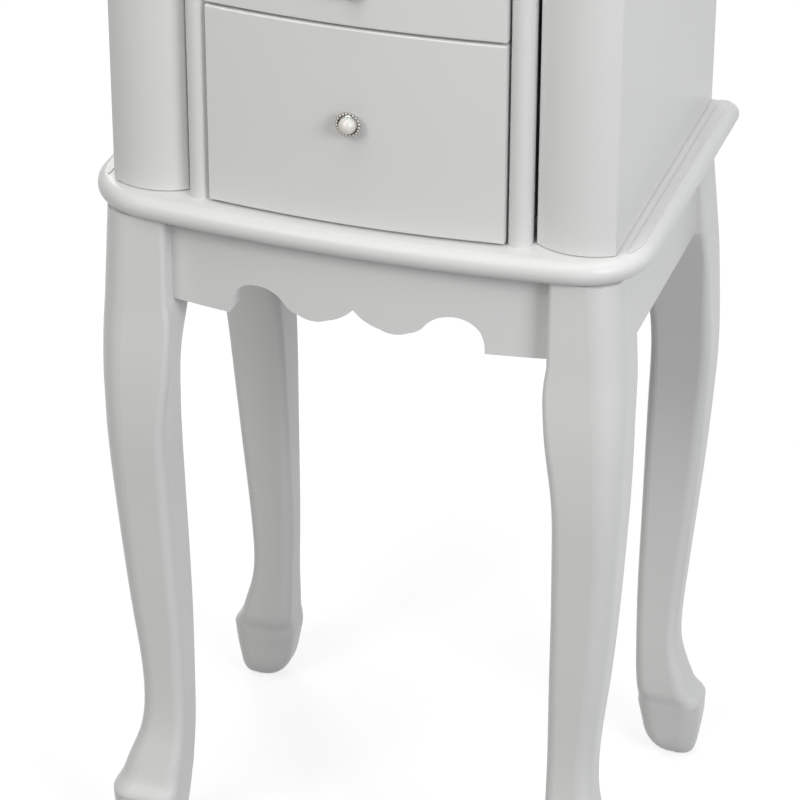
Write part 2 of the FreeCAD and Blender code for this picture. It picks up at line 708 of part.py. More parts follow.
def tray():
    """Top tray under the lid: floor, frieze, dividers and ring rolls."""
    floor_top = frieze_low + size.tray_floor_thick
    keep(frieze_inside("tray_floor", frieze_low, floor_top))

    ring = frieze_ring()
    walls = (frieze_low, frieze_top)
    side_in = frieze_half - size.frieze_thick
    joint = frieze_half - size.frieze_corner + size.frieze_thick
    front_zone = block("frieze_front_zone", (-joint, joint), (base_front, 0.0), walls)
    keep(common("frieze_front", ring, front_zone))
    side_zone = block("frieze_side_zone", (joint, base_half), (base_front, size.body_back), walls)
    back_zone = block("frieze_back_zone", (0.0, side_in), (0.0, size.body_back), walls)
    side = cut("frieze_side_right", common("frieze_side_whole", ring, side_zone), back_zone)
    keep(group("frieze_sides", side, mirrored("frieze_side_left", side)))
    keep(block("frieze_back", (-side_in, side_in), (back_in, size.body_back), walls))

    rise = (floor_top, floor_top + size.divider_high)
    out = size.divider_x + size.divider_thick
    long_right = common(
        "divider_long",
        block("divider_long_blank", (size.divider_x, out), (base_front, back_in), rise),
        frieze_inside("divider_room", *rise),
    )
    short_right = block("divider_short", (out, side_in), (0.0, size.divider_thick), rise)
    behind = (size.divider_y, size.divider_y + size.divider_thick)
    across = block("divider_across", (-size.divider_x, size.divider_x), behind, rise)
    right = fuse("dividers_right", long_right, short_right)
    keep(fuse("tray_dividers", right, mirrored("dividers_left", right), across))

    rolls = []
    slack = 0.4
    for number in range(8):
        y = size.divider_y - 1.0 - size.roll_round - number * (2 * size.roll_round + size.roll_gap)
        rolls.append(rod(
            f"ring_roll_{number}", (-size.divider_x + slack, y, floor_top + size.roll_round + slack / 2),
            size.roll_round, 2 * (size.divider_x - slack), ALONG_X,
        ))
    keep(group("ring_rolls", *rolls))


# ---------------------------------------------------------------- knobs
def knob(label, x, face, z, inside):
    """Cup with a rounded ring, peg and screw whose head lies inside; and the pearl that sits on the peg.

    The outline is drawn with the knob's axis upright and the face of the board at zero.
    """
    under = Term.of(0.1)
    brim = under + size.cup_thick
    ring = size.bead_ring
    bead = size.bead_round
    bead_mid = brim - bead / 2
    centre = brim + size.pearl_round - size.pearl_sunk
    seat = size.pearl_round + size.peg_slack
    head = face - inside
    tail = head - size.screw_head_thick
    corners = [
        (0.0, tail), (size.screw_head, tail), (size.screw_head, head), (size.peg_round, head),
        (size.peg_round, under), (ring, under), (ring, bead_mid - bead, bead, 1),
        (ring + bead, bead_mid, bead, 1), (ring, bead_mid + bead, bead, 1),
        (ring - bead * math.sqrt(0.75), brim),
        (root(seat * seat - (centre - brim) * (centre - brim)), brim, seat, -1),
        (size.peg_round, centre - root(seat * seat - size.peg_round * size.peg_round)),
        (size.peg_round, centre), (0.0, centre),
    ]
    body = DOCUMENT.addObject("PartDesign::Body", f"{label}_knob")
    sketch = sketch_on(body, "XY_Plane", 0.0)
    draw(sketch, corners)
    turned = body.newObject("PartDesign::Revolution", f"{label}_turned")
    turned.Profile = sketch
    turned.ReferenceAxis = (sketch, ["V_Axis"])
    turned.Angle = 360
    body.Placement = Placement(Vector(), Rotation(UP, 180))
    place(body, x, face, z)
    keep(body)
    ball = DOCUMENT.addObject("Part::Sphere", f"{label}_ball")
    ball.setExpression("Radius", size.pearl_round.words)
    place(ball, x, face - centre, z)
    hole = rod(
        f"{label}_pearl_hole", (x, face - centre - 0.1, z), size.peg_round + size.peg_slack,
        size.pearl_round + 1.0, ALONG_Y,
    )
    keep(cut(f"{label}_pearl", ball, hole))


# ---------------------------------------------------------------- drawers
def drawer_levels():
    """Number, lower and upper edge of each drawer front, from the bottom."""
    levels = []
    low = deep_low
    for number in range(1, 5):
        high = low + (size.deep_front_high if number == 1 else size.slim_front_high)
        levels.append((number, low, high))
        low = high + size.front_gap
    return levels


def drawers():
    """Four drawers: bowed front, box, knob and pearl."""
    face = size.wall_front - size.front_proud
    back = face + size.front_thin
    half = size.wall_in - size.box_slack
    box_back = back_in - size.box_room
    bore = size.peg_round + size.peg_slack
    for number, low, high in drawer_levels():
        name = f"drawer_{number}"
        middle = (low + high) / 2
        if number == 1:
            middle += size.knob_rise
        reach = size.front_thin + size.box_side + 2.0
        screw_hole = rod(f"{name}_screw_hole", (0.0, face - 1.0, middle), bore, reach, ALONG_Y)
        front = bowed(f"{name}_blank", size.wall_in - size.front_slack, face, back, size.front_bow, low, high)
        shoulder = (face.value + back.value) / 2
        softened(front, size.front_soft, lambda edge: level(edge) and edge.CenterOfMass.y < shoulder - 1)
        keep(cut(f"{name}_front", front, screw_hole))

        rise = (low + size.box_margin, high - size.box_margin)
        half_in = half - size.box_side
        front_in, back_in_box = back + size.box_side, box_back - size.box_side
        side = block(f"{name}_side", (half_in, half), (back, box_back), rise)
        keep(group(
            f"{name}_box",
            cut(
                f"{name}_inner_front",
                block(f"{name}_end", (-half_in, half_in), (back, front_in), rise),
                screw_hole,
            ),
            block(f"{name}_inner_back", (-half_in, half_in), (back_in_box, box_back), rise),
            block(
                f"{name}_bottom",
                (-half_in, half_in),
                (front_in, back_in_box),
                (rise[0], rise[0] + size.box_floor),
            ),
            side, mirrored(f"{name}_other_side", side),
        ))
        knob(name, Term.of(0.0), face, middle, front_in)


# ---------------------------------------------------------------- side doors
def hinge(label, at, turn):
    """Butt hinge about local Z: fixed leaf towards local -X, moving leaf towards local +X."""
    reach = size.knuckle_long / 2
    gap = size.knuckle_slack / 2
    whole = 3 * reach
    leaf_y = (-size.knuckle_round - 0.1, -size.knuckle_round - 0.1 + size.leaf_thick)
    pin = rod(f"{label}_pin", (0, 0, -whole), size.pin_round, 2 * whole)
    fixed = [
        rod(f"{label}_mid", (0, 0, -reach + gap), size.knuckle_round, size.knuckle_long - 2 * gap),
        block(f"{label}_fixed_web", (-size.knuckle_round, 0), (leaf_y[0], 0), (-reach + gap, reach - gap)),
        block(f"{label}_fixed_leaf", (-size.fixed_leaf, -size.hinge_half_gap), leaf_y, (-whole, whole)),
    ]
    moving = []
    for side, low in (("low", -whole), ("high", reach + gap)):
        high = low + size.knuckle_long - gap
        moving.append(rod(f"{label}_{side}", (0, 0, low), size.knuckle_round, size.knuckle_long - gap))
        moving.append(block(f"{label}_{side}_web", (0, size.knuckle_round), (leaf_y[0], 0), (low, high)))
    leaf_x = (size.hinge_half_gap, size.moving_leaf)
    moving.append(block(f"{label}_moving_leaf", leaf_x, leaf_y, (-whole, whole)))
    room = [
        rod(f"{label}_bore", (0, 0, -whole - 1.0), size.pin_round + size.pin_slack, 2 * whole + 2.0),
        rod(f"{label}_mid_room", (0, 0, -reach), size.knuckle_round + 0.3, size.knuckle_long),
    ]
    end_room = [
        rod(f"{label}_low_room", (0, 0, -whole - 1.0), size.knuckle_round + 0.3, size.knuckle_long + 1.0),
        rod(f"{label}_high_room", (0, 0, reach), size.knuckle_round + 0.3, size.knuckle_long + 1.0),
    ]
    turning = cut(f"{label}_turning", fuse(f"{label}_turning_whole", *moving), *room)
    leaf = cut(f"{label}_still_cut", fuse(f"{label}_still_whole", *fixed), *end_room)
    still = fuse(f"{label}_still", leaf, pin)
    for piece in (still, turning):
        piece.Placement = Placement(Vector(), turn)
        place(piece, *at)
    return still, turning


axis_y = size.body_back + size.knuckle_round + 0.1
axis_x = panel_in - size.hinge_half_gap
edge_x = size.wall_in + size.stile_wide + size.stile_gap
edge_y = size.wall_front - size.column_edge_proud
corner_y = size.wall_front - size.column_side_proud
column_wide, column_deep = size.body_half - edge_x, edge_y - corner_y
column_chord = column_wide * column_wide + column_deep * column_deep
column_round = (column_chord / 4 + size.column_crown * size.column_crown) / (2 * size.column_crown)
hollow_x = edge_x + size.column_lip_x
hollow_y = edge_y + size.column_lip_y
hollow_round = column_round - size.column_thick
block_in = edge_x + size.edge_round


def side_doors():
    """Two necklace doors: curved column, side panel, corner blocks, hook rack, knob and hardware."""
    corners = [
        (edge_x, edge_y, column_round, 1),
        (size.body_half, corner_y),
        (size.body_half, panel_front),
        (panel_in, panel_front, hollow_round, -1),
        (hollow_x, hollow_y),
    ]
    column = plate("column_blank", corners, door_low, door_high)
    limit = edge_x.value + 1.0
    softened(column, size.edge_round, lambda edge: upright(edge) and edge.BoundBox.XMax < limit)
    panel = block(
        "door_right_panel", (panel_in, size.body_half), (panel_front, size.body_back), (door_low, door_high)
    )
    keep(panel)
    keep(mirrored("door_left_panel", panel))
    door_knob_and_column(column)

    blocks, strikes, magnets = [], [], []
    block_back = panel_front + size.block_deep
    middle = (door_low + door_high) / 2
    levels = (door_low, middle - size.block_thick / 2, door_high - size.block_thick)
    for number, low in enumerate(levels):
        outline = [
            (block_in, hollow_y), (hollow_x, hollow_y, hollow_round, 1),
            (panel_in, panel_front), (panel_in, block_back), (block_in, block_back),
        ]
        blocks.append(plate(f"door_block_{number}", outline, low, low + size.block_thick))
    blocks_right = keep(group("door_right_blocks", *blocks))
    keep(mirrored("door_left_blocks", blocks_right))
    for number, low in enumerate((levels[0], levels[2])):
        strike_y = (panel_front + size.catch_set, panel_front + size.catch_set + size.catch_wide)
        strike_z = (low + 1.0, low + size.block_thick - 1.0)
        strike_x = (block_in - size.strike_thick, block_in)
        strikes.append(block(f"strike_{number}", strike_x, strike_y, strike_z))
        magnet_x = (wall_out, strike_x[0] - size.catch_slack)
        magnets.append(block(f"magnet_{number}", magnet_x, strike_y, strike_z))
    magnets_right = group("magnets_right", *magnets)
    keep(group("door_magnets", magnets_right, mirrored("magnets_left", magnets_right)))

    rack_top = door_high - size.rack_drop
    rack_y = (block_back + size.rack_front, back_in - size.rack_back)
    hooks = [block(
        "rack_strip", (panel_in - size.rack_thick, panel_in), rack_y, (rack_top - size.rack_high, rack_top)
    )]
    hook_count = 7
    for number in range(hook_count):
        y = rack_y[0] + (rack_y[1] - rack_y[0]) * ((number + 0.5) / hook_count)
        tip = panel_in - size.hook_reach
        hooks.append(rod(
            f"hook_{number}", (tip, y, rack_top - size.rack_high / 2), size.hook_thick,
            size.hook_reach - size.rack_thick + 1.0, ALONG_X,
        ))
        hooks.append(rod(
            f"hook_tip_{number}", (tip + size.hook_thick, y, rack_top - size.rack_high / 2),
            size.hook_thick * 0.85, 7.0,
        ))
    rack = keep(fuse("door_right_rack", *hooks))
    keep(mirrored("door_left_rack", rack))

    fixed_all, moving_all = [], []
    for number, z in enumerate((door_low + size.hinge_inset, door_high - size.hinge_inset)):
        fixed, moving = hinge(f"door_hinge_{number}", (axis_x, axis_y, z), Rotation())
        fixed_all.append(fixed)
        moving_all.append(moving)
    fixed_right = group("door_hinges_fixed_right", *fixed_all)
    keep(group("door_hinge_leaves", fixed_right, mirrored("door_hinges_fixed_left", fixed_right)))
    hardware = keep(group("door_right_hardware", *moving_all, *strikes))
    keep(mirrored("door_left_hardware", hardware))


def crest(first, last, radius):
    """Level in y of the front of a shallow arc between two (x, y) points."""
    half = root((last[0] - first[0]) * (last[0] - first[0]) + (last[1] - first[1]) * (last[1] - first[1])) / 2
    return (first[1] + last[1]) / 2 + root(radius * radius - half * half) - radius


def door_knob_and_column(column):
    """Drills the columns and gives each its pearl knob."""
    face = crest((edge_x, edge_y), (size.body_half, corner_y), column_round)
    inside = crest((hollow_x, hollow_y), (panel_in, panel_front), hollow_round) + 0.5
    x = (edge_x + size.body_half) / 2 + 0.9
    z = door_high - size.door_knob_drop
    hole = rod(
        "door_screw_hole", (x, face - 3.0, z), size.peg_round + size.peg_slack, inside - face + 4.0, ALONG_Y
    )
    first = len(KEPT)
    keep(cut("door_right_column", column, hole))
    knob("door_right", x, face, z, inside)
    for piece in KEPT[first:]:
        keep(mirrored(piece.Label.replace("right", "left"), piece))


# ---------------------------------------------------------------- lid
def lid():
    """Flip-top lid: moulded board with a raised panel, mirror, mirror frame and hinges."""
    board = bowed("lid_blank", base_half, base_front, size.body_back, size.base_bow, lid_low, lid_top)
    rounded_front(board, size.base_corner)
    nosed(board, size.nosing, size.body_back)
    inset = size.crown_inset
    crown = bowed(
        "lid_crown", base_half - inset, base_front + inset, size.body_back - inset, size.base_bow,
        lid_top - 1.0, lid_top + size.crown_thick,
    )
    rounded_front(crown, size.crown_corner)
    top = lid_top.value + size.crown_thick.value
    softened(
        crown, size.crown_thick * 0.8, lambda edge: level(edge) and abs(edge.CenterOfMass.z - top) < 1e-3
    )
    slack = size.mirror_slack
    half = frieze_half - size.frieze_thick - size.mirror_side
    front = frieze_front + size.frieze_thick + size.mirror_front
    back = back_in - size.mirror_back
    recess = block(
        "mirror_recess", (-half - slack, half + slack), (front - slack, back + slack),
        (lid_low - 1.0, lid_low + size.mirror_thick + slack),
    )
    keep(cut("lid_board", fuse("lid_whole", board, crown), recess))
    glass_low = lid_low + slack / 4
    keep(block("lid_mirror", (-half, half), (front, back), (glass_low, glass_low + size.mirror_thick)))
    wide = size.frame_wide
    outer = block(
        "frame_outer", (-half - wide, half + wide), (front - wide, back + wide),
        (lid_low - size.frame_thick, lid_low),
    )
    lap = size.frame_lap
    inner = block(
        "frame_inner", (-half + lap, half - lap), (front + lap, back - lap),
        (lid_low - size.frame_thick - 1.0, lid_low + 1.0),
    )
    keep(cut("mirror_frame", outer, inner))

    hinge_z = frieze_top + size.lid_gap / 2
    turn = Rotation(Vector(0, 1, 0), -90)
    fixed, moving = hinge("lid_hinge", (size.lid_hinge_x, axis_y, hinge_z), turn)
    keep(group("lid_hinge_fixed_leaves", fixed, mirrored("lid_hinge_fixed_left", fixed)))
    keep(group("lid_hinge_leaves", moving, mirrored("lid_hinge_left", moving)))


stand()
carcass()
drawers()
side_doors()
lid()
DOCUMENT.recompute()

# ---------------------------------------------------------------- checks and files
for item in DOCUMENT.Objects:
    if "Invalid" in item.State or "Error" in item.State:
        raise RuntimeError(f"{item.Label} failed: {item.State}")
names = [piece.Label for piece in KEPT]
if len(set(names)) != len(names):
    raise RuntimeError("two pieces share a name")
for piece in KEPT:
    shape = piece.Shape
    if shape.isNull() or not shape.isValid() or not shape.Solids:
        raise RuntimeError(f"{piece.Label} has no sound shape")
    shape.exportStep(f"parts/{piece.Label}.step")
    box = shape.BoundBox
    spans = [(box.XMin, box.XMax), (box.YMin, box.YMax), (box.ZMin, box.ZMax)]
    reach = "  ".join(f"{low:8.2f} {high:8.2f}" for low, high in spans)
    print(f"{piece.Label:24s} {len(shape.Solids)} solids {shape.Volume / 1000:9.2f} cm3  {reach}")
print(len(KEPT), "pieces")
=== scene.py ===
"""Looks of the white jewellery cabinet: lacquer, pearl knobs, velvet linings, mirror, light and camera.

Metres, +Z up, front towards -Y, as in the frame. The frame's solids get their finishes here, and the beaded
knobs, the velvet, the ring rolls, the felt glides and the hinge screws are modelled round them.
"""
import logging
import math
from collections.abc import Sequence
from dataclasses import dataclass
from enum import Enum

import bmesh
import bpy
from mathutils import Matrix, Vector

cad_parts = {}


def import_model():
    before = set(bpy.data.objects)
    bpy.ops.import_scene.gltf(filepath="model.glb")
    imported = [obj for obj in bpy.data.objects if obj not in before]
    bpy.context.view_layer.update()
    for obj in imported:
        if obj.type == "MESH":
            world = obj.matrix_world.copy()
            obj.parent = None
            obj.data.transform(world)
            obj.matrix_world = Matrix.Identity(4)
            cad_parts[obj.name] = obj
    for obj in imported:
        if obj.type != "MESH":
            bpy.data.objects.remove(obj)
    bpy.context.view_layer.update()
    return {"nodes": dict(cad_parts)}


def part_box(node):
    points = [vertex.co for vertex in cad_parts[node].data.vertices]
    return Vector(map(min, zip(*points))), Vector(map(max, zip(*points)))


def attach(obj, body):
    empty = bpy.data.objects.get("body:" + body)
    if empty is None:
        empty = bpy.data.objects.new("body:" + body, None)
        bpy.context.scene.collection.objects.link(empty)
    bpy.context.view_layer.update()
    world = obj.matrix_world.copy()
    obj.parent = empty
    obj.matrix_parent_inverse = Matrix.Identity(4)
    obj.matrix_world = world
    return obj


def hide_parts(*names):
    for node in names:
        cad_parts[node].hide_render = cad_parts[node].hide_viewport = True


LOG = logging.getLogger("jewellery_cabinet")
FRONTWARD = Vector((0.0, -1.0, 0.0))
BACKWARD = Vector((0.0, 1.0, 0.0))
UPWARD = Vector((0.0, 0.0, 1.0))
RIGHTWARD = Vector((1.0, 0.0, 0.0))
NEAR_AXIS = 1e-4
Outline = Sequence[tuple[float, float]]
Colour = tuple[float, float, float, float]


class Slot(Enum):
    """What a new piece is made of."""

    SILVER = "silver"
    VELVET = "velvet"
    FELT = "felt"
    STEEL = "steel"


class Side(Enum):
    """Side of the cabinet, as the sign of X."""

    LEFT = -1
    RIGHT = 1

    @property
    def word(self) -> str:
        """Name of the side as the nodes have it."""
        return self.name.lower()


# ---------------------------------------------------------------- finishes
def linear(code: str, shade: float = 1.0) -> Colour:
    """Turns an sRGB hex colour to linear.

    Args:
        code: hash and six hex digits.
        shade: factor on the linear colour.

    Returns:
        Linear red, green, blue and an alpha of 1.
    """
    parts = [int(code[start:start + 2], 16) / 255 for start in (1, 3, 5)]
    red, green, blue = (p / 12.92 if p <= 0.04045 else ((p + 0.055) / 1.055) ** 2.4 for p in parts)
    return red * shade, green * shade, blue * shade, 1.0


def per_metre(size_mm: float) -> float:
    """Scale of a pattern whose features are this many millimetres apart."""
    return 1000 / size_mm


def add_node(tree: bpy.types.NodeTree, kind: str, inputs: dict, **settings: object) -> bpy.types.Node:
    """Adds a node with its settings and links.

    Args:
        tree: the material's or world's tree.
        kind: type of the node.
        inputs: value of each input, or the output socket it is linked to, by name or number.
        settings: the node's own properties.

    Returns:
        The new node.
    """
    node = tree.nodes.new(kind)
    for name, value in settings.items():
        setattr(node, name, value)
    for key, value in inputs.items():
        if isinstance(value, bpy.types.NodeSocket):
            tree.links.new(value, node.inputs[key])
        else:
            node.inputs[key].default_value = value
    return node


@dataclass(frozen=True)
class Finish:
    """A surface: its name and its colour."""

    name: str
    colour: str

    def shader(self, tree: bpy.types.NodeTree) -> bpy.types.Node:
        """Adds the shader.

        Args:
            tree: the material's tree.

        Returns:
            The shader node.
        """
        raise NotImplementedError

    def material(self) -> bpy.types.Material:
        """Makes the material.

        Returns:
            The new material.
        """
        made = bpy.data.materials.new(self.name)
        made.use_nodes = True
        tree = made.node_tree
        tree.nodes.clear()
        shader = self.shader(tree)
        add_node(tree, "ShaderNodeOutputMaterial", {"Surface": shader.outputs["BSDF"]})
        return made


@dataclass(frozen=True)
class SprayedLacquer(Finish):
    """Sprayed nitrocellulose lacquer on MDF, semi-gloss: an even white whose sheen wavers a little."""

    grain: tuple[float, float, float] = (1.0, 1.0, 1.0)
    shade: float = 0.97
    cloud_mm: float = 200.0
    sheen_mm: float = 90.9
    wave_mm: float = 71.4
    # real orange peel is about 1 mm apart, drawn at 2.6 mm so that it shows
    peel_mm: float = 2.63

    def shader(self, tree: bpy.types.NodeTree) -> bpy.types.Node:
        """Adds the shader: faint clouds in tone and sheen over a soft wave and orange peel.

        Args:
            tree: the material's tree.

        Returns:
            The shader node.
        """
        place = add_node(tree, "ShaderNodeTexCoord", {}).outputs["Object"]
        cloud = add_node(
            tree, "ShaderNodeTexNoise", {"Vector": place, "Scale": per_metre(self.cloud_mm), "Detail": 1.0})
        cloud_part = add_node(
            tree, "ShaderNodeMapRange", {"Value": cloud.outputs["Fac"], "From Min": 0.1, "From Max": 0.9})
        tone = add_node(
            tree, "ShaderNodeMix",
            {"Factor": cloud_part.outputs["Result"], "A": linear(self.colour), "B": linear(self.colour, self.shade)},
            data_type="RGBA")
        sheen = add_node(
            tree, "ShaderNodeTexNoise", {"Vector": place, "Scale": per_metre(self.sheen_mm), "Detail": 1.0})
        roughness = add_node(
            tree, "ShaderNodeMapRange",
            {"Value": sheen.outputs["Fac"], "From Min": 0.1, "From Max": 0.9, "To Min": 0.28, "To Max": 0.38})
        wave = add_node(
            tree, "ShaderNodeTexNoise", {"Vector": place, "Scale": per_metre(self.wave_mm), "Detail": 0.0})
        wave_bump = add_node(
            tree, "ShaderNodeBump", {"Height": wave.outputs["Fac"], "Strength": 0.04, "Distance": 0.002})
        along = add_node(tree, "ShaderNodeMapping", {"Vector": place, "Scale": self.grain})
        peel = add_node(
            tree, "ShaderNodeTexNoise",
            {"Vector": along.outputs["Vector"], "Scale": per_metre(self.peel_mm), "Detail": 1.0})
        peel_bump = add_node(
            tree, "ShaderNodeBump",
            {"Height": peel.outputs["Fac"], "Strength": 0.03, "Distance": 0.0003,
             "Normal": wave_bump.outputs["Normal"]})
        return add_node(
            tree, "ShaderNodeBsdfPrincipled",
            {"Base Color": tone.outputs["Result"], "Roughness": roughness.outputs["Result"], "IOR": 1.42,
             "Normal": peel_bump.outputs["Normal"]})


@dataclass(frozen=True)
class HookRackPaint(SprayedLacquer):
    """Lacquered strip whose pressed-in hooks are bare silver: metal where the rack stands out furthest."""

    strip_from_middle: float = 0.0

    def shader(self, tree: bpy.types.NodeTree) -> bpy.types.Node:
        """Adds the lacquer's shader with metal hooks.

        Args:
            tree: the material's tree.

        Returns:
            The shader node.
        """
        painted = super().shader(tree)
        place = add_node(tree, "ShaderNodeTexCoord", {}).outputs["Object"]
        parts = add_node(tree, "ShaderNodeSeparateXYZ", {"Vector": place})
        width = add_node(tree, "ShaderNodeMath", {0: parts.outputs["X"]}, operation="ABSOLUTE")
        hook = add_node(
            tree, "ShaderNodeMapRange",
            {"Value": width.outputs["Value"], "From Min": self.strip_from_middle - 1e-5,
             "From Max": self.strip_from_middle + 1e-5, "To Min": 1.0, "To Max": 0.0})
        tree.links.new(hook.outputs["Result"], painted.inputs["Metallic"])
        return painted


@dataclass(frozen=True)
class CutVelvet(Finish):
    """Flocked or cut velvet: dull and soft, with blotches where the pile lies another way, and a pale sheen."""

    shade: float = 0.84
    blotch_mm: float = 16.7
    # real pile is about 0.1 mm thick, drawn at 0.4 mm so that it shows
    pile_mm: float = 0.385

    def shader(self, tree: bpy.types.NodeTree) -> bpy.types.Node:
        """Adds the shader: blotched tone, sheen and a fine pile.

        Args:
            tree: the material's tree.

        Returns:
            The shader node.
        """
        place = add_node(tree, "ShaderNodeTexCoord", {}).outputs["Object"]
        blotch = add_node(
            tree, "ShaderNodeTexNoise", {"Vector": place, "Scale": per_metre(self.blotch_mm), "Detail": 4.0})
        lie = add_node(
            tree, "ShaderNodeMapRange", {"Value": blotch.outputs["Fac"], "From Min": 0.3, "From Max": 0.7})
        tone = add_node(
            tree, "ShaderNodeMix",
            {"Factor": lie.outputs["Result"], "A": linear(self.colour), "B": linear(self.colour, self.shade)},
            data_type="RGBA")
        pile = add_node(
            tree, "ShaderNodeTexNoise", {"Vector": place, "Scale": per_metre(self.pile_mm), "Detail": 2.0})
        pile_bump = add_node(
            tree, "ShaderNodeBump", {"Height": pile.outputs["Fac"], "Strength": 0.5, "Distance": 0.0004})
        return add_node(
            tree, "ShaderNodeBsdfPrincipled",
            {"Base Color": tone.outputs["Result"], "Roughness": 0.95, "Specular IOR Level": 0.15,
             "Sheen Weight": 0.8, "Sheen Roughness": 0.35, "Normal": pile_bump.outputs["Normal"]})


@dataclass(frozen=True)
class WorkedMetal(Finish):
    """Cast, plated or brushed metal: a tinted reflection broken up by fine working marks."""

    roughness: float = 0.3
    stretch: tuple[float, float, float] = (1.0, 1.0, 1.0)
    # real brushing is about 0.1 mm apart, drawn at 1.1 mm so that it shows
    marks_mm: float = 1.11

    def shader(self, tree: bpy.types.NodeTree) -> bpy.types.Node:
        """Adds the shader: marks in the gloss and the relief.

        Args:
            tree: the material's tree.

        Returns:
            The shader node.
        """
        place = add_node(tree, "ShaderNodeTexCoord", {}).outputs["Object"]
        along = add_node(tree, "ShaderNodeMapping", {"Vector": place, "Scale": self.stretch})
        marks = add_node(
            tree, "ShaderNodeTexNoise",
            {"Vector": along.outputs["Vector"], "Scale": per_metre(self.marks_mm), "Detail": 3.0})
        gloss = add_node(
            tree, "ShaderNodeMapRange",
            {"Value": marks.outputs["Fac"], "From Min": 0.3, "From Max": 0.7, "To Min": self.roughness * 0.75,
             "To Max": self.roughness * 1.35})
        relief = add_node(
            tree, "ShaderNodeBump", {"Height": marks.outputs["Fac"], "Strength": 0.08, "Distance": 0.0002})
        return add_node(
            tree, "ShaderNodeBsdfPrincipled",
            {"Base Color": linear(self.colour), "Metallic": 1.0, "Roughness": gloss.outputs["Result"],
             "Normal": relief.outputs["Normal"]})


@dataclass(frozen=True)
class ImitationPearl(Finish):
    """Dipped acrylic pearl: warm body colour under a clear coat, with a cool sheen and faint lustre."""

    lustre_colour: str = "#FFFFFF"
    lustre_mm: float = 6.25
    gloss_mm: float = 4.17

    def shader(self, tree: bpy.types.NodeTree) -> bpy.types.Node:
        """Adds the shader: two pearl tones under a coat.

        Args:
            tree: the material's tree.

        Returns:
            The shader node.
        """
        place = add_node(tree, "ShaderNodeTexCoord", {}).outputs["Object"]
        lustre = add_node(
            tree, "ShaderNodeTexNoise", {"Vector": place, "Scale": per_metre(self.lustre_mm), "Detail": 2.0})
        share = add_node(
            tree, "ShaderNodeMapRange", {"Value": lustre.outputs["Fac"], "From Min": 0.3, "From Max": 0.7})
        tone = add_node(
            tree, "ShaderNodeMix",
            {"Factor": share.outputs["Result"], "A": linear(self.colour), "B": linear(self.lustre_colour)},
            data_type="RGBA")
        skin = add_node(
            tree, "ShaderNodeTexNoise", {"Vector": place, "Scale": per_metre(self.gloss_mm), "Detail": 3.0})
        gloss = add_node(
            tree, "ShaderNodeMapRange",
            {"Value": skin.outputs["Fac"], "From Min": 0.3, "From Max": 0.7, "To Min": 0.20, "To Max": 0.32})
        return add_node(
            tree, "ShaderNodeBsdfPrincipled",
            {"Base Color": tone.outputs["Result"], "Roughness": gloss.outputs["Result"], "Coat Weight": 0.5,
             "Coat Roughness": 0.05, "Sheen Weight": 0.25, "Sheen Roughness": 0.3, "Subsurface Weight": 0.2,
             "Subsurface Scale": 0.002})


@dataclass(frozen=True)
class MouldedPlastic(Finish):
    """Moulded ABS of the catches: satin, with a fine spark-eroded texture."""

    # real spark texture is about 0.1 mm, drawn at 0.7 mm so that it shows
    texture_mm: float = 0.667

    def shader(self, tree: bpy.types.NodeTree) -> bpy.types.Node:
        """Adds the shader: one colour with a fine relief.

        Args:
            tree: the material's tree.

        Returns:
            The shader node.
        """
        place = add_node(tree, "ShaderNodeTexCoord", {}).outputs["Object"]
        texture = add_node(
            tree, "ShaderNodeTexNoise", {"Vector": place, "Scale": per_metre(self.texture_mm), "Detail": 2.0})
        relief = add_node(
            tree, "ShaderNodeBump", {"Height": texture.outputs["Fac"], "Strength": 0.25, "Distance": 0.0002})
        return add_node(
            tree, "ShaderNodeBsdfPrincipled",
            {"Base Color": linear(self.colour), "Roughness": 0.5, "Normal": relief.outputs["Normal"]})


@dataclass(frozen=True)
class SilveredGlass(Finish):
    """Float glass silvered on the back: a clean reflection with a few faint wiping smears."""

    smear_mm: float = 71.4

    def shader(self, tree: bpy.types.NodeTree) -> bpy.types.Node:
        """Adds the shader: a mirror whose gloss drops in the smears.

        Args:
            tree: the material's tree.

        Returns:
            The shader node.
        """
        place = add_node(tree, "ShaderNodeTexCoord", {}).outputs["Object"]
        along = add_node(tree, "ShaderNodeMapping", {"Vector": place, "Scale": (1.0, 4.0, 1.0)})
        smear = add_node(
            tree, "ShaderNodeTexNoise",
            {"Vector": along.outputs["Vector"], "Scale": per_metre(self.smear_mm), "Detail": 5.0})
        gloss = add_node(
            tree, "ShaderNodeMapRange",
            {"Value": smear.outputs["Fac"], "From Min": 0.5, "From Max": 0.9, "To Min": 0.0, "To Max": 0.035})
        return add_node(
            tree, "ShaderNodeBsdfPrincipled",
            {"Base Color": linear(self.colour), "Metallic": 1.0, "Roughness": gloss.outputs["Result"]})


def background_rays(tree: bpy.types.NodeTree) -> bpy.types.NodeSocket:
    """Tells the rays that see the background from those that light the cabinet.

    Args:
        tree: the material's or world's tree.

    Returns:
        Socket that is 1 for camera, glossy and transmission rays.
    """
    path = add_node(tree, "ShaderNodeLightPath", {})
    seen = add_node(
        tree, "ShaderNodeMath", {0: path.outputs["Is Camera Ray"], 1: path.outputs["Is Glossy Ray"]},
        operation="MAXIMUM")
    every = add_node(
        tree, "ShaderNodeMath", {0: seen.outputs["Value"], 1: path.outputs["Is Transmission Ray"]},
        operation="MAXIMUM")
    return every.outputs["Value"]


